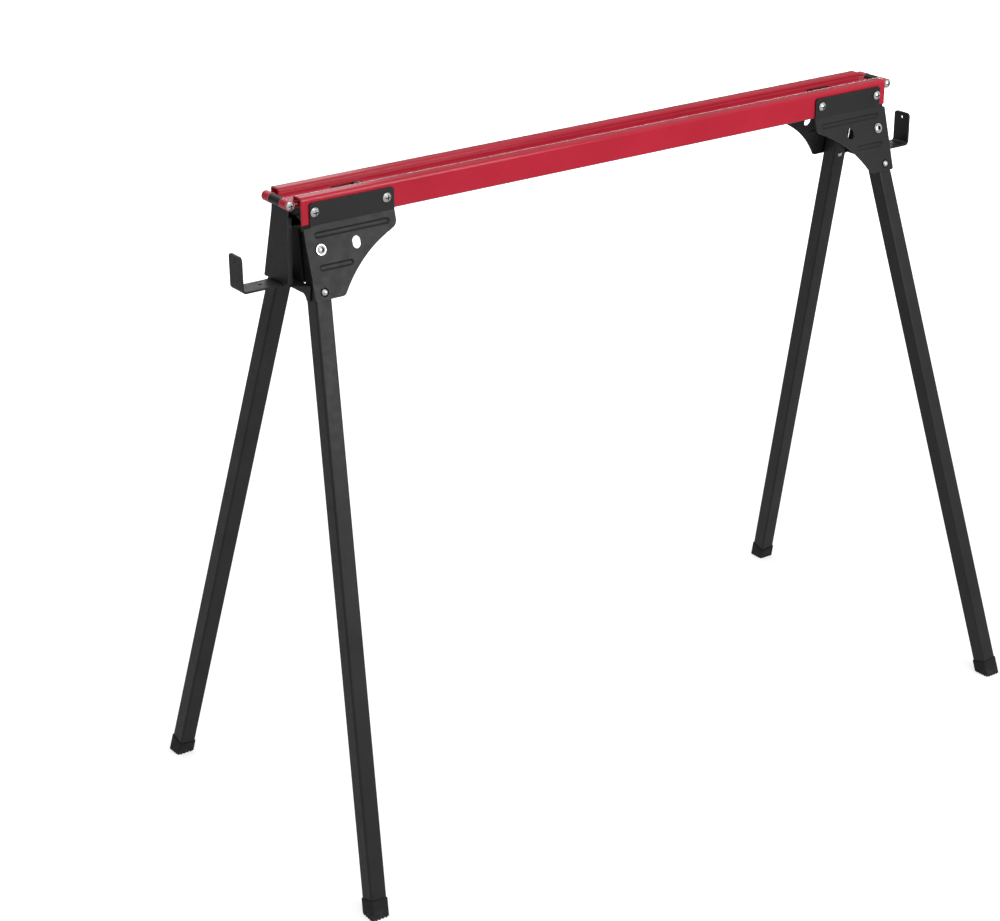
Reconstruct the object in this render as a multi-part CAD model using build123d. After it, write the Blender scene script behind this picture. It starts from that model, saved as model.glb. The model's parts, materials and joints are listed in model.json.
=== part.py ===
from build123d import *
import os
from math import asin, cos, degrees, hypot, radians, sin, tan

# Folding sawhorse: a folded sheet beam on four square legs that swing in under it.
# Millimetres, +X along the beam, +Z up, floor at z = 0, origin under the beam's middle.
# Every corner piece is made once, at +X +Y, and mirrored to the other three corners.

# ---------------------------------------------------------------- driving dimensions
ridge_height = 810.0  # floor to the top of the two rails
beam_length = 894.0
beam_width = 66.0
beam_sheet = 1.5
beam_bend = 3.5  # outside radius of the beam's folds
wall_height = 32.8  # rail top to the lower edge of a side wall
wall_edge_round = 1.2
rail_width = 17.0
valley_depth = 6.5  # rail top down to the web between the rails
slot_length = 41.0  # clamp slot in the web
slot_width = 22.0
slot_from_end = 83.6  # beam end to the slot's middle

gusset_sheet = 2.0
gusset_top_drop = 7.0  # rail top down to the gusset's upper edge
gusset_fold_drop = 34.0  # rail top down to its fold, just under the beam's wall
gusset_margin = 10.0  # beam end to the gusset's upper part
gusset_reach = 122.6  # beam end to the gusset's inner edge
gusset_tail_margin = 0.5  # beam end to the outer edge of the tilted part
gusset_ear_drop = 1.5  # fold line down to the step beside the beam's end
gusset_drop = 84.4  # fold line to the lower edge, along the tilted part
gusset_heel_reach = 39.5  # beam end to the foot of the hollow curve
gusset_shoulder_drop = 17.0  # fold line down to the rounded shoulder
gusset_curve_start = (112.0, 22.5)  # from the beam end, below the fold line
gusset_curve_sag = 7.0
gusset_tilt = 15.65  # degrees, lower part against the upright
gusset_fold_inside = 2.0
shoulder_round = 10.0
heel_round = 7.0
corner_round = 4.0
tail_round = 2.0

rib_width = 7.8
rib_depth = 1.8  # groove in the outer face
rib_rise = 0.9  # ridge on the inner face, where the pressed metal is thinner
rib_slope = 52.0  # degrees, flank of a rib
rib_flare = 0.8  # a rib is this much wider on the inner face
upper_rib = (12.8, 113.8, 10.9)  # from the beam end, to, below the fold line
lower_rib = (12.3, 58.0, 48.4)

gusset_bolt_from_end = (16.1, 112.3)
gusset_bolt_drop = 18.2  # rail top down to the two upper bolts
bolt_diameter = 6.0
bolt_hole = 6.5
bolt_head = 11.5
bolt_head_height = 3.6
nut_across_flats = 10.0
nut_height = 5.0
bolt_tip = 1.2  # bolt beyond its nut
thread_clearance = 0.05

pivot_from_end = 17.9
pivot_drop = 27.5  # fold line down to the leg pivot
pivot_lean = 0.135  # degrees; the folded leg swings inboard of the beam's walls
pivot_flange = 12.8
pivot_flange_height = 1.3
pivot_head = 9.6
pivot_head_height = 3.2
pivot_head_rim = 0.8
pivot_socket = 5.2
running_clearance = 0.05
axial_clearance = 0.05
spacer_diameter = 16.0
washer_diameter = 12.5
washer_thickness = 1.2

leg_size = 21.6
leg_wall = 1.2
leg_corner = 2.6
leg_splay = 5.68  # degrees, in the gusset's plane
leg_gap = 1.2  # gusset to leg
leg_top = 22.0  # leg above its pivot

button_radius = 48.1  # pivot to snap button, and to the folded position's hole
button_diameter = 8.0
button_proud = 3.0  # button top above the gusset
button_dome = 2.6
button_base = 10.5
button_base_thickness = 1.0
button_hole = 11.0
fold_hole_width = 11.4
fold_hole_height = 14.6
spring_strip = 0.6
spring_width = 9.0
spring_length = 46.0
spring_overhang = 6.0
rivet_diameter = 3.2
rivet_head = 7.0
rivet_head_height = 1.8
rivet_tail = 4.6
rivet_tail_height = 0.8

cap_wall = 1.3
cap_height = 20.0  # floor to the cap's rim, along the leg
cap_sole = 4.0
cap_corner = 3.6
tread_pitch = 4.6
tread_radius = 1.2
tread_count = 5

hinge_offset = 10.4  # beam end to the hinge axis
barrel_diameter = 12.4
barrel_half_width = 26.4
tongue_reach = 2.6  # beam end to the gap between the barrels
plate_barrel_diameter = 11.6
plate_barrel_width = 23.4
barrel_gap = 0.4
sleeve_diameter = 9.0
hinge_screw = 5.0
hinge_screw_length = 12.0
hinge_head = 10.6
hinge_head_height = 3.2

plate_sheet = 1.5
plate_face_offset = 2.6  # hinge axis in to the plate's outer face, at the axis' height
plate_top_gap = 0.5  # turning barrel to the plate's upper edge
plate_shoulder_drop = 17.0  # hinge axis down to where the plate widens
plate_top_width = 36.0
plate_bottom_width = 54.0
plate_drop = 94.0  # hinge axis down to the shelf
plate_flange = 5.6
plate_bend = 2.4
lip_clearance = 0.6
lip_half_width = 44.5
lip_foot_width = 7.0
lip_height = 11.5
lip_foot_drop = 6.5
lip_arch_run = 12.0
web_height = 58.5  # shelf up to the top of the web between the legs
web_clearance = 0.7  # web to the legs' inner faces
web_return = 4.0  # edges of the web folded back between the legs

hook_reach = 69.6  # beam end to the hook's outer face
hook_width = 27.0
hook_bar = 2.5
hook_bend = 6.0  # outside radius
hook_height = 43.6
hook_corner = 5.0
hook_hole = 4.5
hook_floor_hole_from_end = 38.6
hook_upright_hole_drop = 7.0
hook_root_gap = 2.0  # lip to the hook's inner end
hook_rivet_span = 14.0
hook_rivet_from_root = 9.0

# ---------------------------------------------------------------- derived places
half_length = beam_length / 2
half_width = beam_width / 2
wall_foot = ridge_height - wall_height
fold_height = ridge_height - gusset_fold_drop
web_top = ridge_height - valley_depth
inner_wall = half_width - rail_width
wall_inside = half_width - beam_sheet
gusset_face = half_width + gusset_sheet
gusset_top = ridge_height - gusset_top_drop
gusset_bolt_height = ridge_height - gusset_bolt_drop
tilt = radians(gusset_tilt)
splay = radians(leg_splay)
lean = radians(pivot_lean)

hinge_x = half_length + hinge_offset
hinge_z = web_top - beam_sheet
sleeve_bore = sleeve_diameter + 2 * running_clearance
plate_bottom_height = hinge_z - plate_drop

# The tilted part of the gusset: local x is +X, local y runs down it, local z is outward.
tilt_plane = Plane(
    origin=(half_length, gusset_face, fold_height),
    x_dir=(1, 0, 0),
    z_dir=(0, cos(tilt), sin(tilt)),
)
outward = tilt_plane.z_dir
leg_axis = tilt_plane.x_dir * sin(splay) + tilt_plane.y_dir * cos(splay)
leg_across = tilt_plane.x_dir * cos(splay) - tilt_plane.y_dir * sin(splay)
pivot_axis = outward * cos(lean) - leg_axis * sin(lean)


def on_gusset(from_end, below_fold, inward=0.0):
    """A point on the tilted part, inward of its outer face."""
    return tilt_plane.from_local_coords((-from_end, below_fold, -inward))


leg_face_depth = gusset_sheet + leg_gap
leg_middle_depth = leg_face_depth + leg_size / 2
leg_back_depth = leg_face_depth + leg_size
pivot = on_gusset(pivot_from_end, pivot_drop)
leg_pivot = on_gusset(pivot_from_end, pivot_drop, leg_middle_depth)
leg_length = leg_pivot.Z / -leg_axis.Z  # pivot to the floor, along the leg
leg_x_slope = leg_axis.X / -leg_axis.Z  # outward run for each mm down
leg_face_x = leg_pivot.X + leg_pivot.Z * leg_x_slope + leg_size / 2 / cos(splay)


def outer_face_x(height):
    """Where the legs' faces towards the beam's end lie at a height."""
    return leg_face_x - height * leg_x_slope


# ---------------------------------------------------------------- helpers
def above(height):
    """Everything over a level."""
    span = 4 * ridge_height
    return Pos(0, 0, height) * Box(span, span, span, align=(Align.CENTER, Align.CENTER, Align.MIN))


def sheet_profile(points, sheet, outside_radius):
    """Section of folded sheet: its left face follows the points and the metal lies to the right."""
    count = len(points)
    runs = []
    for (x0, y0), (x1, y1) in zip(points, points[1:]):
        length = hypot(x1 - x0, y1 - y0)
        runs.append(((x1 - x0) / length, (y1 - y0) / length))
    left_radii, right_radii, offset = [], [], []
    for i, (x, y) in enumerate(points):
        before = runs[max(i - 1, 0)]
        after = runs[min(i, count - 2)]
        cross = before[0] * after[1] - before[1] * after[0]
        dot = before[0] * after[0] + before[1] * after[1]
        normal = (before[1] + after[1], -before[0] - after[0])
        offset.append((x + normal[0] * sheet / (1 + dot), y + normal[1] * sheet / (1 + dot)))
        if 0 < i < count - 1:
            left_radii.append(outside_radius if cross < 0 else outside_radius - sheet)
            right_radii.append(outside_radius - sheet if cross < 0 else outside_radius)
    left = FilletPolyline(*points, radius=left_radii)
    right = FilletPolyline(*offset, radius=right_radii)
    ends = [Line(points[0], offset[0]), Line(points[-1], offset[-1])]
    return make_face([*left.edges(), *right.edges(), *ends])


def round_corners(face, corners):
    """A flat face with some of its corners rounded, each given as a place and a radius."""
    for (x, y), radius in corners:
        vertex = face.vertices().sort_by_distance((x, y, 0))[0]
        face = fillet(vertex, radius)
    return face


def domed_head(diameter, height, rim):
    """A screw or rivet head, standing on the XY plane."""
    half = diameter / 2
    rise = height - rim
    dome = (half * half + rise * rise) / (2 * rise)
    turn = asin(half / dome) / 2
    middle = (dome * sin(turn), height - dome + dome * cos(turn))
    outline = [
        Line((0, 0), (half, 0)),
        Line((half, 0), (half, rim)),
        ThreePointArc((half, rim), middle, (0, height)),
        Line((0, height), (0, 0)),
    ]
    return revolve(Plane.XZ * make_face(outline), Axis.Z)


def corner_copy(shape, end, face):
    """The +X +Y corner's piece, mirrored or turned to another corner."""
    if end < 0 and face < 0:
        return Rot(0, 0, 180) * shape
    if end < 0:
        return mirror(shape, about=Plane.YZ)
    if face < 0:
        return mirror(shape, about=Plane.XZ)
    return shape


def cylinder_between(low, high, diameter):
    """A cylinder on the Z axis from one height to another."""
    return Pos(0, 0, (low + high) / 2) * Cylinder(diameter / 2, high - low)


def cross_recess(span, depth, top):
    """The driver cross cut in a screw head."""
    arm = span * 0.24
    flute = Box(span, arm, 2 * depth) + Box(arm, span, 2 * depth)
    return Pos(0, 0, top) * flute


def pan_screw(head, head_height, shank, length):
    """A domed screw with a driver cross: head above the XY plane, shank below it."""
    screw = domed_head(head, head_height, head_height * 0.3) + cylinder_between(-length, 0, shank)
    return screw - cross_recess(head * 0.56, head_height * 0.6, head_height)


def hex_nut(low, high, across, bore):
    """A hexagon nut on the Z axis, with its corners turned off."""
    blank = extrude(RegularPolygon(across / 2, 6, major_radius=False), amount=high - low)
    corner = across / 3**0.5
    rims = Cylinder(corner, high - low).edges().filter_by(GeomType.CIRCLE)
    blank = Pos(0, 0, low) * blank & Pos(0, 0, (low + high) / 2) * chamfer(rims, corner * 0.12)
    return blank - cylinder_between(low - 1, high + 1, bore)


def washer(low, high, outside, inside):
    """A flat ring on the Z axis."""
    return cylinder_between(low, high, outside) - cylinder_between(low - 1, high + 1, inside)


def at_gusset(from_end, below_fold):
    """A frame on the tilted part's outer face, its z outward."""
    return Plane(origin=on_gusset(from_end, below_fold), x_dir=(1, 0, 0), z_dir=outward)


pivot_frame = Plane(origin=pivot, x_dir=leg_across, z_dir=pivot_axis)
button_place = pivot + leg_axis * button_radius
button_frame = Plane(origin=button_place, x_dir=leg_across, z_dir=outward)
leg_frame = Plane(origin=leg_pivot, x_dir=leg_across, z_dir=leg_axis)
bolt_frames = [
    Plane((half_length - from_end, gusset_face, gusset_bolt_height), x_dir=(1, 0, 0), z_dir=(0, 1, 0))
    for from_end in gusset_bolt_from_end
]


# ---------------------------------------------------------------- beam
def top_beam():
    """Walls, two hollow rails and the sunk web, folded from one sheet, with a hinge at each end."""
    section = sheet_profile(
        [
            (-half_width, wall_foot),
            (-half_width, ridge_height),
            (-inner_wall, ridge_height),
            (-inner_wall, web_top),
            (inner_wall, web_top),
            (inner_wall, ridge_height),
            (half_width, ridge_height),
            (half_width, wall_foot),
        ],
        beam_sheet,
        beam_bend,
    )
    section = round_corners(
        section,
        [((-half_width, wall_foot), wall_edge_round), ((half_width, wall_foot), wall_edge_round)],
    )
    beam = extrude(Plane.YZ * section, amount=half_length, both=True)
    for side in (-1, 1):
        beam += beam_end(side)
    for side in (-1, 1):
        slot = extrude(RectangleRounded(slot_length, slot_width, 1.5), amount=4 * beam_sheet, both=True)
        beam -= Pos(side * (half_length - slot_from_end), 0, web_top) * slot
        for frame in bolt_frames:
            for face in (-1, 1):
                beam -= corner_copy(frame * cylinder_between(-beam_width / 2, 1, bolt_hole), side, face)
    return beam


def beam_end(side):
    """The web's tongue and the two rolled barrels of the end hinge."""
    web_middle = web_top - beam_sheet / 2
    root = Box(2 * tongue_reach, 2 * (inner_wall - beam_sheet), beam_sheet)
    strip = Box(tongue_reach, 2 * barrel_half_width, beam_sheet)
    tongue = Pos(half_length, 0, web_middle) * root
    tongue += Pos(half_length + tongue_reach / 2, 0, web_middle) * strip
    ear_width = barrel_half_width - plate_barrel_width / 2 - barrel_gap
    ear_middle = barrel_half_width - ear_width / 2
    ear_reach = hinge_offset - tongue_reach
    for across in (-1, 1):
        ear = Box(ear_reach, ear_width, beam_sheet)
        tongue += Pos(half_length + tongue_reach + ear_reach / 2, across * ear_middle, web_middle) * ear
        barrel = Rot(90, 0, 0) * Cylinder(barrel_diameter / 2, ear_width)
        tongue += Pos(hinge_x, across * ear_middle, hinge_z) * barrel
    tongue -= Pos(hinge_x, 0, hinge_z) * Rot(90, 0, 0) * Cylinder(sleeve_bore / 2, 4 * barrel_half_width)
    return tongue if side > 0 else mirror(tongue, about=Plane.YZ)


# ---------------------------------------------------------------- gusset
def gusset():
    """Folded side plate: bolted flat to the beam's wall above, tilted to carry the leg below."""
    wrap = gusset_sheet * tan(tilt / 2)
    tail = (gusset_face + gusset_drop * sin(tilt), fold_height - gusset_drop * cos(tilt))
    tail_inside = (tail[0] - gusset_sheet * cos(tilt), tail[1] - gusset_sheet * sin(tilt))
    section = make_face(
        Polyline(
            (half_width, gusset_top),
            (gusset_face, gusset_top),
            (gusset_face, fold_height),
            tail,
            tail_inside,
            (half_width, fold_height - wrap),
            close=True,
        )
    )
    folds = [
        ((gusset_face, fold_height), gusset_fold_inside),
        ((half_width, fold_height - wrap), gusset_fold_inside + gusset_sheet),
    ]
    section = round_corners(section, folds)
    blank = extrude(Plane.YZ * section, amount=beam_length)

    def front(from_end, below_fold):
        return (half_length - from_end, fold_height - below_fold * cos(tilt))

    start = front(*gusset_curve_start)
    end = front(gusset_heel_reach, gusset_drop)
    chord = hypot(end[0] - start[0], end[1] - start[1])
    normal = ((start[1] - end[1]) / chord, (end[0] - start[0]) / chord)
    middle = (
        (start[0] + end[0]) / 2 + normal[0] * gusset_curve_sag,
        (start[1] + end[1]) / 2 + normal[1] * gusset_curve_sag,
    )
    corners = [
        (half_length - gusset_margin, gusset_top),
        (half_length - gusset_reach, gusset_top),
        front(gusset_reach, gusset_shoulder_drop),
        start,
    ]
    rest = [
        end,
        front(gusset_tail_margin, gusset_drop),
        front(gusset_tail_margin, gusset_ear_drop),
        front(gusset_margin, gusset_ear_drop),
        corners[0],
    ]
    hollow = ThreePointArc(start, middle, end)
    outline = make_face([*Polyline(*corners).edges(), hollow, *Polyline(*rest).edges()])
    rounds = [
        (corners[0], corner_round),
        (corners[1], corner_round),
        (corners[2], shoulder_round),
        (end, heel_round),
        (rest[1], tail_round),
        (rest[2], tail_round / 2),
    ]
    outline = round_corners(outline, rounds)
    front_plane = Plane(origin=(0, 0, 0), x_dir=(1, 0, 0), z_dir=(0, -1, 0))
    prism = extrude(front_plane * outline, amount=-4 * beam_width)
    plate = blank & prism

    for first, last, below in (upper_rib, lower_rib):
        plate = pressed_rib(plate, first, last, below)
    plate -= pivot_frame * cylinder_between(-4 * gusset_sheet, 4 * gusset_sheet, bolt_hole)
    plate -= button_frame * cylinder_between(-4 * gusset_sheet, 4 * gusset_sheet, button_hole)
    fold_face = SlotOverall(fold_hole_height, fold_hole_width, rotation=90)
    fold_slot = extrude(fold_face, amount=4 * gusset_sheet, both=True)
    plate -= at_gusset(pivot_from_end + button_radius, pivot_drop) * fold_slot
    for frame in bolt_frames:
        plate -= frame * cylinder_between(-2 * gusset_sheet, 2 * gusset_sheet, bolt_hole)
    return plate


def pressed_rib(plate, first, last, below):
    """A stiffening rib pressed inward: a groove outside and a ridge inside."""
    length = last - first
    middle = (first + last) / 2
    inner = Plane(origin=on_gusset(middle, below, gusset_sheet), x_dir=(1, 0, 0), z_dir=-outward)
    wide = SlotOverall(length + rib_flare, rib_width + rib_flare)
    plate += inner * extrude(wide, amount=rib_rise, taper=rib_slope)
    outer = Plane(origin=on_gusset(middle, below), x_dir=(1, 0, 0), z_dir=-outward)
    return plate - outer * extrude(SlotOverall(length, rib_width), amount=rib_depth, taper=rib_slope)


# ---------------------------------------------------------------- leg
def leg_prism(size, corner, start, finish):
    """A square bar with rounded corners on the leg's axis, between two distances from the pivot."""
    face = Pos(0, 0, start) * RectangleRounded(size, size, corner)
    return leg_frame * extrude(face, amount=finish - start)


def leg_tube():
    """Square tube, open at the top, cut level with the floor inside its cap."""
    past_floor = leg_length + leg_size
    tube = leg_prism(leg_size, leg_corner, -leg_top, past_floor)
    tube -= leg_prism(leg_size - 2 * leg_wall, leg_corner - leg_wall, -leg_top - 1, past_floor + 1)
    tube &= above(cap_sole)
    tube -= pivot_frame * cylinder_between(-2 * leg_back_depth, 0, bolt_diameter + 2 * running_clearance)
    front_wall = cylinder_between(-leg_middle_depth, 0, button_diameter + 2 * running_clearance)
    rivet_hole = rivet_diameter + 2 * thread_clearance
    back_wall = cylinder_between(-2 * leg_back_depth, -leg_middle_depth, rivet_hole)
    return tube - button_frame * front_wall - button_frame * back_wall


def foot_cap():
    """Rubber shoe: a sleeve round the tube and a sole with a cross-cut tread, flat on the floor."""
    past_floor = leg_length + leg_size
    cap = leg_prism(leg_size + 2 * cap_wall, cap_corner, leg_length - cap_height, past_floor) & above(0)
    cap -= leg_prism(leg_size, leg_corner, leg_length - 2 * cap_height, past_floor) & above(cap_sole)
    foot = leg_pivot + leg_axis * leg_length
    for i in range(tread_count):
        shift = (i - (tread_count - 1) / 2) * tread_pitch
        groove = Cylinder(tread_radius, 4 * leg_size)
        cap -= Pos(foot.X, foot.Y + shift, 0) * Rot(0, 90, 0) * groove
        cap -= Pos(foot.X + shift, foot.Y, 0) * Rot(90, 0, 0) * groove
    return cap


def snap_button():
    """Domed locking button that stands through the tube and the gusset."""
    wall_face = -leg_face_depth - leg_wall
    base_top = wall_face - axial_clearance
    shoulder = button_proud - button_dome
    button = cylinder_between(base_top - button_base_thickness, base_top, button_base)
    button += cylinder_between(base_top, shoulder, button_diameter)
    button += Pos(0, 0, shoulder) * domed_head(button_diameter, button_dome, button_dome * 0.12)
    return button_frame * button


def button_spring():
    """Leaf spring bent like a V: one arm behind the button, the other on the tube's back wall."""
    front = -leg_face_depth - leg_wall - axial_clearance - button_base_thickness
    back = -leg_back_depth + leg_wall
    start = -spring_overhang
    turn = spring_length
    path = [
        (start, front),
        (spring_overhang, front),
        (turn, back + 5 * spring_strip),
        (turn + 2 * spring_strip, back),
        (start, back),
    ]
    strip = sheet_profile(path, spring_strip, 2 * spring_strip)
    side = Plane(origin=button_place, x_dir=leg_axis, z_dir=leg_across)
    flip = 1 if side.y_dir.dot(outward) > 0 else -1
    side = Plane(origin=button_place, x_dir=leg_axis, z_dir=leg_across * flip)
    leaf = extrude(side * strip, amount=spring_width / 2, both=True)
    rivet_hole = rivet_diameter + 2 * thread_clearance
    return leaf - button_frame * cylinder_between(-2 * leg_back_depth, -leg_middle_depth, rivet_hole)


def spring_rivet():
    """Rivet that holds the leaf spring; its head shows on the leg's inner face."""
    back = -leg_back_depth
    inside = back + leg_wall + spring_strip
    head = Rot(180, 0, 0) * domed_head(rivet_head, rivet_head_height, 0.3)
    rivet = Pos(0, 0, back) * head
    rivet += cylinder_between(back, inside + rivet_tail_height, rivet_diameter)
    rivet += cylinder_between(inside, inside + rivet_tail_height, rivet_tail)
    return button_frame * rivet


# ---------------------------------------------------------------- pivot fasteners
def pivot_bolt():
    """Flanged socket bolt that the leg turns on."""
    length = leg_back_depth + axial_clearance + washer_thickness + nut_height + bolt_tip
    seat = pivot_flange / 2 * sin(lean)  # the leaning flange bears on one edge
    bolt = cylinder_between(seat, pivot_flange_height, pivot_flange)
    cap = domed_head(pivot_head, pivot_head_height - pivot_flange_height, pivot_head_rim)
    bolt += Pos(0, 0, pivot_flange_height) * cap
    bolt += cylinder_between(-length, pivot_flange_height, bolt_diameter)
    socket = extrude(RegularPolygon(pivot_socket / 2, 6, major_radius=False), amount=pivot_head_height)
    return pivot_frame * (bolt - Pos(0, 0, pivot_flange_height * 0.6) * socket)


def pivot_spacer():
    """Ring that keeps the leg clear of the gusset's ribs."""
    low = -leg_face_depth + axial_clearance
    return pivot_frame * washer(low, -gusset_sheet - axial_clearance, spacer_diameter, bolt_hole)


def pivot_washer():
    """Flat washer between the leg's inner face and the nut."""
    high = -leg_back_depth - axial_clearance
    return pivot_frame * washer(high - washer_thickness, high, washer_diameter, bolt_hole)


def pivot_nut():
    """Nut on the pivot bolt, inside the sawhorse."""
    high = -leg_back_depth - axial_clearance - washer_thickness
    bore = bolt_diameter + 2 * thread_clearance
    return pivot_frame * hex_nut(high - nut_height, high, nut_across_flats, bore)


def gusset_bolt(frame):
    """Screw through gusset and beam wall."""
    length = gusset_sheet + beam_sheet + nut_height + bolt_tip
    return frame * pan_screw(bolt_head, bolt_head_height, bolt_diameter, length)


def gusset_nut(frame):
    """Nut on the inner face of the beam's wall."""
    high = -gusset_sheet - beam_sheet
    return frame * hex_nut(high - nut_height, high, nut_across_flats, bolt_diameter + 2 * thread_clearance)


# ---------------------------------------------------------------- end bracket
def bracket_face_x(height):
    """Outer face of the end plate, parallel to the legs' end faces."""
    return hinge_x - plate_face_offset + (hinge_z - height) * leg_x_slope


def bracket_panel(outline, outer_face_at_hinge, sheet):
    """A flat panel parallel to the legs' end faces, from an outline in y and z."""
    face = extrude(Plane.YZ * outline, amount=4 * sheet, both=True)
    low = outer_face_at_hinge
    run = leg_x_slope * ridge_height
    wedge = make_face(
        Polyline(
            (low - run, hinge_z + ridge_height),
            (low + run, hinge_z - ridge_height),
            (low + run - sheet, hinge_z - ridge_height),
            (low - run - sheet, hinge_z + ridge_height),
            close=True,
        )
    )
    slab = extrude(Plane.XZ * wedge, amount=2 * lip_half_width, both=True)
    middle = (outline.bounding_box().min.Y + outline.bounding_box().max.Y) / 2
    return Pos(low + (hinge_z - middle) * leg_x_slope, 0, 0) * face & slab


lip_outer_at_hinge = outer_face_x(hinge_z) + lip_clearance + plate_sheet
shelf_top = plate_bottom_height + plate_sheet


def between_legs(height):
    """Half the width left between two legs at a height, less the web's clearance."""
    leg_back = gusset_face + (fold_height - height) * tan(tilt) - leg_back_depth / cos(tilt)
    return leg_back - web_clearance


def end_plate():
    """Hinged end bracket: barrel, flanged plate, shelf and the lip on the legs."""
    top = hinge_z - barrel_diameter / 2 - plate_top_gap
    shoulder = hinge_z - plate_shoulder_drop
    half_top = plate_top_width / 2
    half_bottom = plate_bottom_width / 2
    face = make_face(
        Polyline(
            (-half_top, top),
            (half_top, top),
            (half_top, shoulder),
            (half_bottom, plate_bottom_height),
            (-half_bottom, plate_bottom_height),
            (-half_top, shoulder),
            close=True,
        )
    )
    outer_at_hinge = hinge_x - plate_face_offset
    plate = bracket_panel(face, outer_at_hinge, plate_sheet)
    neck_width = plate_barrel_width
    neck = make_face(
        Polyline(
            (-neck_width / 2, hinge_z),
            (neck_width / 2, hinge_z),
            (neck_width / 2, top - 1),
            (-neck_width / 2, top - 1),
            close=True,
        )
    )
    plate += bracket_panel(neck, outer_at_hinge, plate_sheet)
    barrel = Cylinder(plate_barrel_diameter / 2, plate_barrel_width)
    plate += Pos(hinge_x, 0, hinge_z) * Rot(90, 0, 0) * barrel

    # side flanges run back from the slanted edges
    for side in (-1, 1):
        flange = make_face(
            Polyline(
                (side * half_top, shoulder),
                (side * (half_top - plate_sheet), shoulder),
                (side * (half_bottom - plate_sheet), plate_bottom_height),
                (side * half_bottom, plate_bottom_height),
                close=True,
            )
        )
        plate += bracket_panel(flange, outer_at_hinge, plate_flange)

    # shelf from the plate back to the legs, and the arched lip below it
    lip_low = plate_bottom_height - lip_height + plate_sheet
    foot_low = lip_low - lip_foot_drop
    foot_inner = lip_half_width - lip_foot_width
    arch_end = foot_inner - lip_arch_run
    arch_turn = radians(45)
    arch = []
    for side in (1, -1):
        points = [
            (side * arch_end, lip_low),
            (
                side * (arch_end + lip_arch_run * sin(arch_turn)),
                lip_low - lip_foot_drop * (1 - cos(arch_turn)),
            ),
            (side * foot_inner, foot_low),
        ]
        arch.append(ThreePointArc(*points))
    lip_outline = make_face(
        [
            Line((-lip_half_width, shelf_top), (lip_half_width, shelf_top)),
            Line((lip_half_width, shelf_top), (lip_half_width, foot_low)),
            Line((lip_half_width, foot_low), (foot_inner, foot_low)),
            arch[0],
            Line((arch_end, lip_low), (-arch_end, lip_low)),
            arch[1],
            Line((-foot_inner, foot_low), (-lip_half_width, foot_low)),
            Line((-lip_half_width, foot_low), (-lip_half_width, shelf_top)),
        ]
    )
    feet = [((lip_half_width, foot_low), tail_round), ((-lip_half_width, foot_low), tail_round)]
    lip_outline = round_corners(lip_outline, feet)
    plate += bracket_panel(lip_outline, lip_outer_at_hinge, plate_sheet)
    shelf_outer = bracket_face_x(plate_bottom_height)
    shelf_inner = lip_outer_at_hinge + (hinge_z - plate_bottom_height) * leg_x_slope - plate_sheet
    shelf = make_face(
        Polyline(
            (shelf_outer, -half_bottom),
            (shelf_outer, half_bottom),
            (shelf_inner, lip_half_width),
            (shelf_inner, -lip_half_width),
            close=True,
        )
    )
    plate += Pos(0, 0, plate_bottom_height) * extrude(shelf, amount=plate_sheet)
    low_edge = plate.edges().filter_by(Axis.Y).sort_by_distance((shelf_outer, 0, plate_bottom_height))[0]
    plate = fillet(low_edge, plate_sheet * 0.9)
    plate -= Pos(hinge_x, 0, hinge_z) * Rot(90, 0, 0) * Cylinder(sleeve_bore / 2, 4 * barrel_half_width)
    rivet_hole = rivet_diameter + 2 * thread_clearance
    for place in hook_rivet_places():
        plate -= Pos(*place, plate_bottom_height) * Cylinder(rivet_hole / 2, 4 * plate_sheet)
    return plate


def end_web():
    """Stiffener on the shelf: it fills the gap between the legs, with its edges folded back."""
    top = shelf_top + web_height
    low = between_legs(shelf_top)
    high = between_legs(top)
    panel = make_face(
        Polyline((-low, shelf_top), (low, shelf_top), (high, top), (-high, top), close=True)
    )
    web = bracket_panel(panel, lip_outer_at_hinge, plate_sheet)
    for side in (-1, 1):
        folded_edge = make_face(
            Polyline(
                (side * high, top),
                (side * (high - plate_sheet), top),
                (side * (low - plate_sheet), shelf_top),
                (side * low, shelf_top),
                close=True,
            )
        )
        web += bracket_panel(folded_edge, lip_outer_at_hinge, web_return)
    return web


def hook_root():
    """Inner end of the hook, under the shelf."""
    lip_outer = outer_face_x(plate_bottom_height) + lip_clearance + plate_sheet
    return lip_outer + hook_root_gap


def hook_rivet_places():
    """Where the hook is riveted to the shelf."""
    return [(hook_root() + hook_rivet_from_root, side * hook_rivet_span / 2) for side in (-1, 1)]


def hook():
    """Flat bar bent up at its outer end, riveted under the end plate's shelf."""
    outer = half_length + hook_reach
    low = plate_bottom_height - hook_bar
    inner = outer - hook_bar
    path = [(hook_root(), plate_bottom_height), (inner, plate_bottom_height), (inner, low + hook_height)]
    section = sheet_profile(path, hook_bar, hook_bend)
    bar = extrude(Plane.XZ * section, amount=hook_width / 2, both=True)
    tip = bar.edges().filter_by(Axis.X).group_by(Axis.Z)[-1]
    bar = fillet(tip, hook_corner)
    hole = Cylinder(hook_hole / 2, 4 * hook_bar)
    bar -= Pos(half_length + hook_floor_hole_from_end, 0, low) * hole
    bar -= Pos(outer, 0, low + hook_height - hook_upright_hole_drop) * Rot(0, 90, 0) * hole
    for place in hook_rivet_places():
        bar -= Pos(*place, low) * Cylinder(rivet_diameter / 2 + thread_clearance, 4 * hook_bar)
    return bar


def hook_rivets():
    """Two rivets through hook and shelf."""
    low = plate_bottom_height - hook_bar
    high = plate_bottom_height + plate_sheet
    rivets = []
    for place in hook_rivet_places():
        rivet = Pos(0, 0, high) * domed_head(rivet_head, rivet_head_height, 0.3)
        rivet += Pos(0, 0, low) * Rot(180, 0, 0) * domed_head(rivet_head, rivet_head_height, 0.3)
        rivet += cylinder_between(low, high, rivet_diameter)
        rivets.append(Pos(*place, 0) * rivet)
    return rivets


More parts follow.
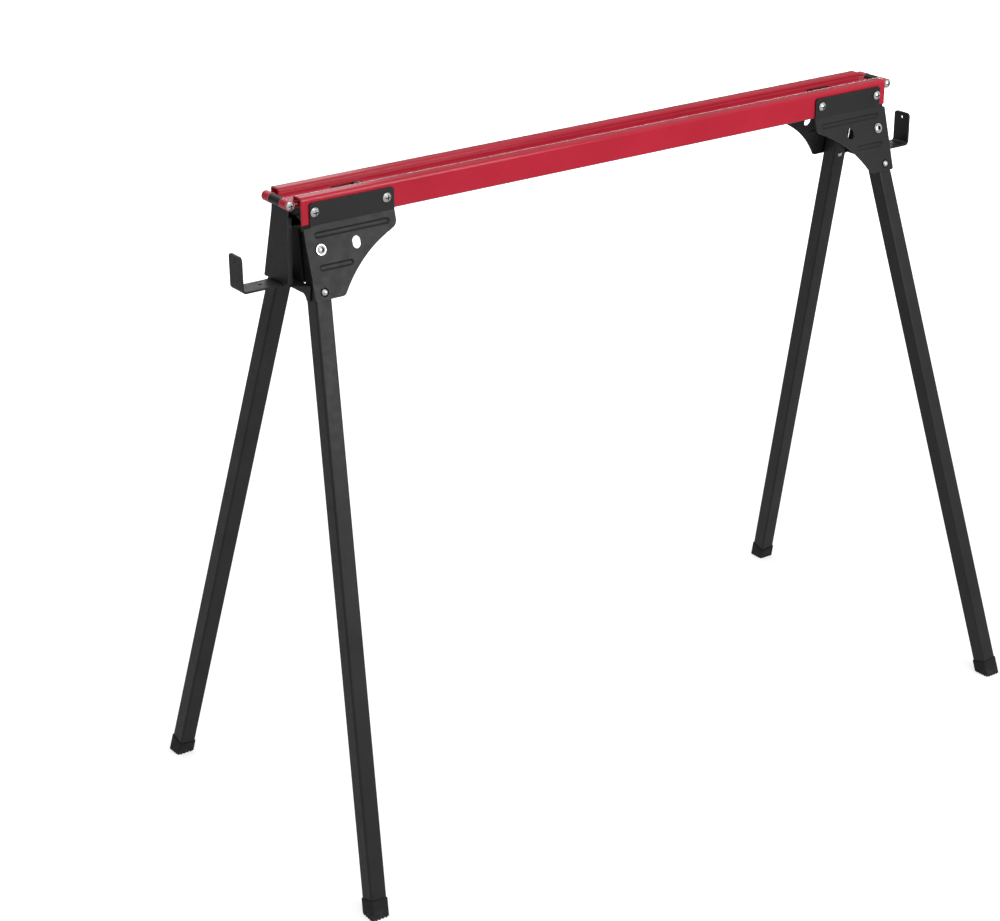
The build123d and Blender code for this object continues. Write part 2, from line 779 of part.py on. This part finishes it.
def hinge_sleeve():
    """Internally threaded sleeve that the end plate turns on."""
    bore = hinge_screw + 2 * thread_clearance
    sleeve = Cylinder(sleeve_diameter / 2, 2 * barrel_half_width)
    sleeve -= Cylinder(bore / 2, 4 * barrel_half_width)
    return Pos(hinge_x, 0, hinge_z) * Rot(90, 0, 0) * sleeve


def hinge_screw_at(side):
    """Pan-head screw in one end of the sleeve."""
    screw = pan_screw(hinge_head, hinge_head_height, hinge_screw, hinge_screw_length)
    frame = Plane(origin=(hinge_x, side * barrel_half_width, hinge_z), x_dir=(1, 0, 0), z_dir=(0, side, 0))
    return frame * screw


# ---------------------------------------------------------------- assembly
def solids_of(shapes):
    """One compound of separate solids."""
    return Compound(children=[solid for shape in shapes for solid in shape.solids()])


ends = {"left": -1, "right": 1}
faces = {"front": -1, "back": 1}
corners = [(f"{face}_{end}", ends[end], faces[face]) for face in faces for end in ends]

nodes = {"top_beam": top_beam()}
corner_pieces = {
    "gusset": gusset(),
    "leg_tube": leg_tube(),
    "foot_cap": foot_cap(),
    "snap_button": snap_button(),
    "button_spring": button_spring(),
    "spring_rivet": spring_rivet(),
}
for piece, shape in corner_pieces.items():
    for corner, end, face in corners:
        nodes[f"{piece}_{corner}"] = corner_copy(shape, end, face)

grouped_pieces = {
    "pivot_bolts": [pivot_bolt()],
    "pivot_spacers": [pivot_spacer()],
    "pivot_washers": [pivot_washer()],
    "pivot_nuts": [pivot_nut()],
    "gusset_bolts": [gusset_bolt(frame) for frame in bolt_frames],
    "gusset_nuts": [gusset_nut(frame) for frame in bolt_frames],
}
for group, shapes in grouped_pieces.items():
    copies = [corner_copy(shape, end, face) for shape in shapes for _, end, face in corners]
    nodes[group] = solids_of(copies)

end_pieces = {
    "end_plate": [end_plate()],
    "end_web": [end_web()],
    "hook": [hook()],
    "hook_rivets": hook_rivets(),
}
for piece, shapes in end_pieces.items():
    for end, sign in ends.items():
        nodes[f"{piece}_{end}"] = solids_of([corner_copy(shape, sign, 1) for shape in shapes])

nodes["hinge_sleeves"] = solids_of([corner_copy(hinge_sleeve(), sign, 1) for sign in ends.values()])
nodes["hinge_screws"] = solids_of(
    [corner_copy(hinge_screw_at(side), sign, 1) for sign in ends.values() for side in (-1, 1)]
)

os.makedirs("parts", exist_ok=True)
for name, shape in nodes.items():
    export_step(shape, f"parts/{name}.step")
    print(name, len(shape.solids()), round(shape.volume))
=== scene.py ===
import json
import math

import bpy
from mathutils import Matrix, Vector


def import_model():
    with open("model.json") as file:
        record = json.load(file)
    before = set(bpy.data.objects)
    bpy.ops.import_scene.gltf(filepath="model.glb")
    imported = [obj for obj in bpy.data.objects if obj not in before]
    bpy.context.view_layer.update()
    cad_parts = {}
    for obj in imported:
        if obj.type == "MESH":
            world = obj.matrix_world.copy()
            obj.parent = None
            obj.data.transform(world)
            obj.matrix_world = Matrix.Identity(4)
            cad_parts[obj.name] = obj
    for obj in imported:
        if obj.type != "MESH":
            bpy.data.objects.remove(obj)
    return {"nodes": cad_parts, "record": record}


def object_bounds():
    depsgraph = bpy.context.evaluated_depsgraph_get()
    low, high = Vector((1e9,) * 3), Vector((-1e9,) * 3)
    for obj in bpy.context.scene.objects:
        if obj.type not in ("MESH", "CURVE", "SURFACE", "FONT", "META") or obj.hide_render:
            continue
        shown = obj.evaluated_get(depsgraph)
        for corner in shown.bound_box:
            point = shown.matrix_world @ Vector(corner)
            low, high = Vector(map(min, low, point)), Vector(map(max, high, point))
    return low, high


# The looks of a folding sawhorse: powder coat, zinc and rubber, in a pale studio.
# Lengths are in metres, angles in degrees, lamp powers in watts.
HALF_BEAM = 0.447  # half the beam's length, without its hinge barrels
FOLD_ROUNDING = 0.003  # how far the red coat's shading rounds the sheet's folds
WALL_SHADE_HEIGHT = 0.0016  # height of the painted shade along the walls' lower edge
DUST_HEIGHT = 0.014  # how far up the shoes the floor's dust reaches
BLACK_SHADE = 0.014
BLACK_GRAIN = 0.00007

FLOOR_RADIUS = 6.0
FLOOR_SHADE = 0.62
SHADOW_REACH = 0.9  # the floor's shadows are kept up to here, and gone at FADE_END
FADE_END = 3.2

CAMERA_AZIMUTH = -35.192
CAMERA_ELEVATION = 23.138
CAMERA_ROLL = -0.515
CAMERA_EYE = Vector((-1.73916, -2.24662, 1.58176))
LENS_MM = 85.581
SENSOR_MM = 36

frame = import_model()
cad_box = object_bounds()
record = frame["record"]
slot_of_node = {entry["node"]: entry["material_slot"] for entry in record["subparts"]}


# ---------------------------------------------------------------- shader helpers
class Nodes:
    """A material being built: short calls that add a node and link its inputs."""

    def __init__(self, name):
        self.material = bpy.data.materials.new(name)
        self.material.use_nodes = True
        self.tree = self.material.node_tree
        self.shader = self.tree.nodes["Principled BSDF"]
        self.coords = self.tree.nodes.new("ShaderNodeTexCoord").outputs["Object"]

    def add(self, kind, inputs=None, **settings):
        node = self.tree.nodes.new(kind)
        for key, value in settings.items():
            setattr(node, key, value)
        for key, value in (inputs or {}).items():
            self.connect(value, node.inputs[key])
        return node

    def connect(self, value, socket):
        if isinstance(value, bpy.types.NodeSocket):
            self.tree.links.new(value, socket)
        else:
            socket.default_value = value

    def noise(self, size, detail=2.0, roughness=0.5, stretch=(1, 1, 1)):
        """Noise whose lumps are about size metres across."""
        place = self.add("ShaderNodeMapping", {"Vector": self.coords, "Scale": stretch})
        inputs = {
            "Vector": place.outputs["Vector"],
            "Scale": 1 / size,
            "Detail": detail,
            "Roughness": roughness,
        }
        return self.add("ShaderNodeTexNoise", inputs).outputs["Fac"]

    def ramp(self, value, low, high, start=0.0, end=1.0):
        """Maps low..high to start..end, and holds the ends."""
        inputs = {
            "Value": value,
            "From Min": low,
            "From Max": high,
            "To Min": start,
            "To Max": end,
        }
        return self.add("ShaderNodeMapRange", inputs).outputs["Result"]

    def math(self, operation, first, second=0.0):
        node = self.add("ShaderNodeMath", {0: first, 1: second}, operation=operation)
        return node.outputs["Value"]

    def mix(self, amount, first, second):
        """Mixes two colours."""
        node = self.add("ShaderNodeMix", data_type="RGBA")
        self.connect(amount, node.inputs["Factor"])
        self.connect(first, node.inputs[6])
        self.connect(second, node.inputs[7])
        return node.outputs[2]

    def edges(self, radius):
        """1 on outward edges, from how far a rounded normal turns from the true one."""
        rounded = self.add("ShaderNodeBevel", {"Radius": radius}, samples=6).outputs["Normal"]
        true = self.add("ShaderNodeNewGeometry").outputs["Normal"]
        dot = self.add("ShaderNodeVectorMath", {0: rounded, 1: true}, operation="DOT_PRODUCT")
        return self.math("SUBTRACT", 1.0, dot.outputs["Value"])

    def painted_recess_shade(self, reach):
        """1 in the open, towards 0 down in recesses, grooves and narrow gaps: the mask for painted
        shade there.
        """
        inputs = {"Distance": reach}
        return self.add("ShaderNodeAmbientOcclusion", inputs, samples=8).outputs["AO"]

    def bump(self, height, distance, fold=None):
        """Small relief; the shading also rounds folds by the given radius."""
        inputs = {"Height": height, "Distance": distance}
        if fold:
            rounded = self.add("ShaderNodeBevel", {"Radius": fold}, samples=6)
            inputs["Normal"] = rounded.outputs["Normal"]
        relief = self.add("ShaderNodeBump", inputs)
        self.connect(relief.outputs["Normal"], self.shader.inputs["Normal"])

    def set(self, **values):
        for key, value in values.items():
            self.connect(value, self.shader.inputs[key.replace("_", " ")])


def rgba(red, green, blue):
    return (red, green, blue, 1.0)


def grey(shade):
    return rgba(shade, shade, shade)


WHITE = grey(1)


# ---------------------------------------------------------------- materials
wall_foot = min(corner[2] for corner in frame["nodes"]["top_beam"].bound_box)


def red_coat():
    """Glossy red powder coat: fine orange peel; paler edges, partly wear and partly painted
    highlight, most at the hinge barrels; painted shade in recesses and along the walls' lower
    edge.
    """
    m = Nodes("red_coat")
    place = m.add("ShaderNodeSeparateXYZ", {"Vector": m.coords}).outputs
    along = m.math("ABSOLUTE", place["X"])
    patches = m.noise(0.09, 3)
    colour = m.mix(m.ramp(patches, 0.3, 0.7), rgba(0.385, 0.005, 0.022), rgba(0.43, 0.008, 0.029))
    # Paler edges: partly worn coat, partly painted highlight along the folds and on the hinge
    # barrels' rims.
    patchy_wear_and_highlight = m.ramp(m.noise(0.012, 4), 0.3, 0.6, 0.7, 1.0)
    at_hinge = m.ramp(along, HALF_BEAM, HALF_BEAM + 0.001, 0.12, 1.0)
    edge_wear_and_highlight = m.math("MULTIPLY", m.math("MULTIPLY", m.edges(0.0014), at_hinge), patchy_wear_and_highlight)
    colour = m.mix(m.ramp(edge_wear_and_highlight, 0.02, 0.16, 0.0, 0.9), colour, rgba(0.86, 0.36, 0.34))
    # Painted shade, dark red, down in recesses and narrow gaps.
    colour = m.mix(m.ramp(m.painted_recess_shade(0.004), 0.15, 0.75), rgba(0.09, 0.002, 0.006), colour)
    # Painted shade along the walls' lower edge.
    painted_foot_shade = m.ramp(place["Z"], wall_foot, wall_foot + WALL_SHADE_HEIGHT, 0.6, 0.0)
    colour = m.mix(painted_foot_shade, colour, rgba(0.12, 0.01, 0.02))
    scuffs = m.noise(0.004, 4, 0.65, (0.15, 1, 1))
    m.set(Base_Color=colour, Roughness=m.ramp(scuffs, 0.35, 0.7, 0.12, 0.2))
    m.set(Specular_IOR_Level=0.35)
    m.bump(m.noise(0.0016, 2), 0.00004, fold=FOLD_ROUNDING)
    return m.material


def black_coat():
    """Satin black powder coat, grained; grey edges, partly wear and partly painted highlight;
    painted shade in its recesses.
    """
    m = Nodes("black_coat")
    patches = m.noise(0.06, 4)
    low = rgba(0.7 * BLACK_SHADE, 0.7 * BLACK_SHADE, 0.72 * BLACK_SHADE)
    high = rgba(1.15 * BLACK_SHADE, 1.13 * BLACK_SHADE, 1.14 * BLACK_SHADE)
    base = m.mix(m.ramp(patches, 0.3, 0.7), low, high)
    # Grey edges: partly worn coat, partly painted highlight along the folds.
    edge_wear_and_highlight = m.math("MULTIPLY", m.edges(0.0009), m.ramp(m.noise(0.008, 4), 0.35, 0.65, 0.2, 1.0))
    colour = m.mix(m.ramp(edge_wear_and_highlight, 0.03, 0.35, 0.0, 0.8), base, rgba(0.09, 0.09, 0.095))
    # Painted shade, near black, in recesses, grooves and narrow gaps.
    colour = m.mix(m.ramp(m.painted_recess_shade(0.005), 0.35, 0.88), grey(0.0015), colour)
    m.set(Base_Color=colour, Roughness=m.ramp(m.noise(0.01, 4, 0.6), 0.3, 0.7, 0.36, 0.48))
    m.set(Specular_IOR_Level=0.22)
    m.bump(m.noise(0.0011, 3), BLACK_GRAIN)
    return m.material


def zinc():
    """Bright zinc plate: fine crystals, duller patches, and painted shade down in the recesses."""
    m = Nodes("zinc")
    crystals = m.noise(0.0012, 5, 0.6)
    colour = m.mix(m.ramp(crystals, 0.3, 0.7), rgba(0.38, 0.39, 0.40), rgba(0.64, 0.64, 0.63))
    # Painted shade down in the recesses.
    colour = m.mix(m.ramp(m.painted_recess_shade(0.007), 0.4, 0.92), rgba(0.015, 0.015, 0.017), colour)
    m.set(Base_Color=colour, Metallic=1.0)
    m.set(Roughness=m.ramp(m.noise(0.003, 3), 0.3, 0.7, 0.16, 0.34))
    m.bump(crystals, 0.00003)
    return m.material


def spring_steel():
    """Blued spring strip, brushed along its length."""
    m = Nodes("spring_steel")
    brushed = m.noise(0.0008, 3, 0.6, (1, 1, 0.08))
    colour = m.mix(brushed, rgba(0.20, 0.21, 0.25), rgba(0.42, 0.42, 0.45))
    m.set(Base_Color=colour, Metallic=1.0, Roughness=m.ramp(brushed, 0.3, 0.7, 0.25, 0.42))
    m.bump(brushed, 0.00002)
    return m.material


def rubber():
    """Moulded black rubber: matte, faintly mottled and greyed by dust towards the floor."""
    m = Nodes("rubber")
    grain = m.noise(0.0009, 3)
    height = m.add("ShaderNodeSeparateXYZ", {"Vector": m.coords}).outputs["Z"]
    low_down = m.ramp(height, 0.0, DUST_HEIGHT, 1.0, 0.0)
    dust = m.math("MULTIPLY", low_down, m.ramp(m.noise(0.006, 4), 0.4, 0.65))
    base = m.mix(m.noise(0.01, 3), rgba(0.008, 0.008, 0.009), rgba(0.016, 0.016, 0.017))
    m.set(Base_Color=m.mix(m.math("MULTIPLY", dust, 0.3), base, rgba(0.08, 0.076, 0.072)))
    m.set(Roughness=m.ramp(grain, 0.3, 0.7, 0.62, 0.82), Specular_IOR_Level=0.2)
    m.bump(grain, 0.0001)
    return m.material


finishes = {
    "beam": red_coat(),
    "black_steel": black_coat(),
    "zinc": zinc(),
    "spring_steel": spring_steel(),
    "foot": rubber(),
}
for name, node in frame["nodes"].items():
    node.data.materials.clear()
    node.data.materials.append(finishes[slot_of_node[name]])


# ---------------------------------------------------------------- stage
def floor():
    """Pale floor: it keeps the shadows under the feet and fades to plain white further out."""
    bpy.ops.mesh.primitive_circle_add(vertices=96, radius=FLOOR_RADIUS, fill_type="NGON")
    plane = bpy.context.object
    plane.name = "floor"
    m = Nodes("floor")
    seen = m.add("ShaderNodeLightPath").outputs["Is Camera Ray"]
    distance = m.add("ShaderNodeVectorMath", {0: m.coords}, operation="LENGTH").outputs["Value"]
    lift = m.ramp(distance, SHADOW_REACH, FADE_END, 0.5, 1.0)
    m.set(Base_Color=grey(FLOOR_SHADE), Roughness=1.0, Specular_IOR_Level=0.0)
    m.set(Emission_Color=WHITE, Emission_Strength=m.math("MULTIPLY", seen, lift))
    plane.data.materials.append(m.material)


def world():
    """White surround; the light that it gives is dimmer, most of all low down behind the beam."""
    surround = bpy.data.worlds.new("studio")
    bpy.context.scene.world = surround
    surround.use_nodes = True
    tree = surround.node_tree
    background = tree.nodes["Background"]
    background.inputs["Color"].default_value = WHITE

    def ramp(value, low, high, start, end):
        node = tree.nodes.new("ShaderNodeMapRange")
        tree.links.new(value, node.inputs["Value"])
        node.inputs["From Min"].default_value = low
        node.inputs["From Max"].default_value = high
        node.inputs["To Min"].default_value = start
        node.inputs["To Max"].default_value = end
        return node

    coords = tree.nodes.new("ShaderNodeTexCoord")
    direction = tree.nodes.new("ShaderNodeSeparateXYZ")
    tree.links.new(coords.outputs["Generated"], direction.inputs["Vector"])
    upward = ramp(direction.outputs["Z"], 0.3, 0.75, 0.25, 0.8)
    forward = ramp(direction.outputs["Y"], 0.3, -0.1, 0.0, 0.9)
    light = tree.nodes.new("ShaderNodeMath")
    light.operation = "MAXIMUM"
    tree.links.new(upward.outputs["Result"], light.inputs[0])
    tree.links.new(forward.outputs["Result"], light.inputs[1])
    path = tree.nodes.new("ShaderNodeLightPath")
    strength = ramp(path.outputs["Is Camera Ray"], 0.0, 1.0, 0.0, 1.0)
    tree.links.new(light.outputs["Value"], strength.inputs["To Min"])
    tree.links.new(strength.outputs["Result"], background.inputs["Strength"])


def softbox(name, place, target, width, height, power):
    """A large area lamp aimed at a point."""
    lamp = bpy.data.lights.new(name, "AREA")
    lamp.shape = "RECTANGLE"
    lamp.size = width
    lamp.size_y = height
    lamp.energy = power
    holder = bpy.data.objects.new(name, lamp)
    bpy.context.scene.collection.objects.link(holder)
    aim = Vector(target) - Vector(place)
    holder.location = place
    holder.visible_camera = False
    holder.rotation_euler = aim.to_track_quat("-Z", "Y").to_euler()


def camera():
    """A long lens from the front left, above the beam."""
    azimuth = math.radians(CAMERA_AZIMUTH)
    elevation = math.radians(CAMERA_ELEVATION)
    roll = math.radians(CAMERA_ROLL)
    back = Vector(
        (
            math.sin(azimuth) * math.cos(elevation),
            -math.cos(azimuth) * math.cos(elevation),
            math.sin(elevation),
        )
    )
    right = Vector((0, 0, 1)).cross(back).normalized()
    up = back.cross(right)
    turned_right = right * math.cos(roll) + up * math.sin(roll)
    turned_up = up * math.cos(roll) - right * math.sin(roll)
    lens = bpy.data.cameras.new("camera")
    lens.sensor_width = SENSOR_MM
    lens.lens = LENS_MM
    lens.clip_start = 0.05
    holder = bpy.data.objects.new("camera", lens)
    bpy.context.scene.collection.objects.link(holder)
    holder.matrix_world = Matrix(
        (
            (turned_right.x, turned_up.x, back.x, CAMERA_EYE.x),
            (turned_right.y, turned_up.y, back.y, CAMERA_EYE.y),
            (turned_right.z, turned_up.z, back.z, CAMERA_EYE.z),
            (0, 0, 0, 1),
        )
    )
    bpy.context.scene.camera = holder


# ---------------------------------------------------------------- scene
floor()
world()
beam_middle = (0, 0, cad_box[1][2])
gusset_middle = (-0.4, 0, 0.75)
# name, place, target, width, height, power
softbox("key", (-0.8, -1.8, 3.4), beam_middle, 2.0, 2.0, 20)
softbox("front", (0.85, -2.4, 1.65), beam_middle, 1.3, 1.3, 12)
softbox("low_front", (0.62, -1.75, 0.86), gusset_middle, 0.8, 0.4, 8)
softbox("rim", (0.5, 2.8, 2.6), beam_middle, 2.0, 2.0, 15)
softbox("low_back", (2.0, 3.2, 0.75), beam_middle, 3.0, 0.9, 40)
camera()
bpy.context.scene.view_settings.view_transform = "Standard"
